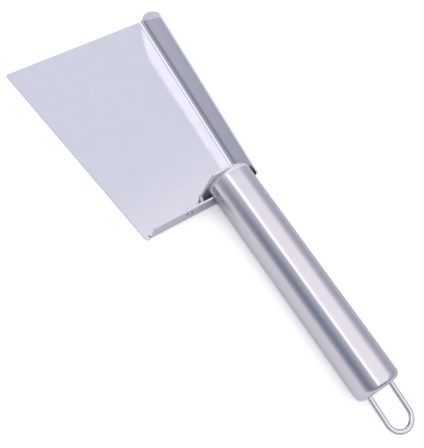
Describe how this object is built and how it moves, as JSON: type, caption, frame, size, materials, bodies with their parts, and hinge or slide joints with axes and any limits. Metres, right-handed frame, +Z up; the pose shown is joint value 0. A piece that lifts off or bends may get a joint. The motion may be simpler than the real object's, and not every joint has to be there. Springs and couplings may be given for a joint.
{
  "type": "grill spatula",
  "caption": "Sheet-steel grill spatula with a tray-like blade, upright side wall, offset round tube handle and a small wire hanging loop.",
  "frame": {"origin": "on the blade's underside, straight below the centre of the handle's front end", "axes": "+X to the right, towards the side wall; +Y forward, along the handle towards the blade's front edge; +Z up"},
  "size_m": [0.0874, 0.2663, 0.0255],
  "materials": {
    "blade_sheet": "smooth cold-rolled sheet, softly mirror-like",
    "handle_steel": "fine satin polish along the tube",
    "loop_wire": "bright drawn wire",
    "rivet_steel": "polished rivet",
    "ground_steel": "ground and pickled, pale and matt",
    "weld_steel": "as-welded bead, brushed clean"
  },
  "bodies": {
    "spatula": {"blade_pan": "blade_sheet", "handle_bracket": "ground_steel", "bracket_rivet": "rivet_steel", "handle_tube": "handle_steel", "handle_front_cap": "handle_steel", "handle_end_cap": "handle_steel", "blade_weld_bead": "weld_steel", "wall_weld_bead": "weld_steel", "bracket_weld_bead": "weld_steel", "bulkhead_weld_ring": "ground_steel"},
    "loop": {"hanging_loop": "loop_wire"}
  },
  "joints": [
    {"name": "loop_swing", "type": "hinge", "parent": "spatula", "child": "loop", "pos_m": [0, -0.1266, 0.01325], "axis": [-1, 0, 0], "range_deg": [0, 10]}
  ]
}
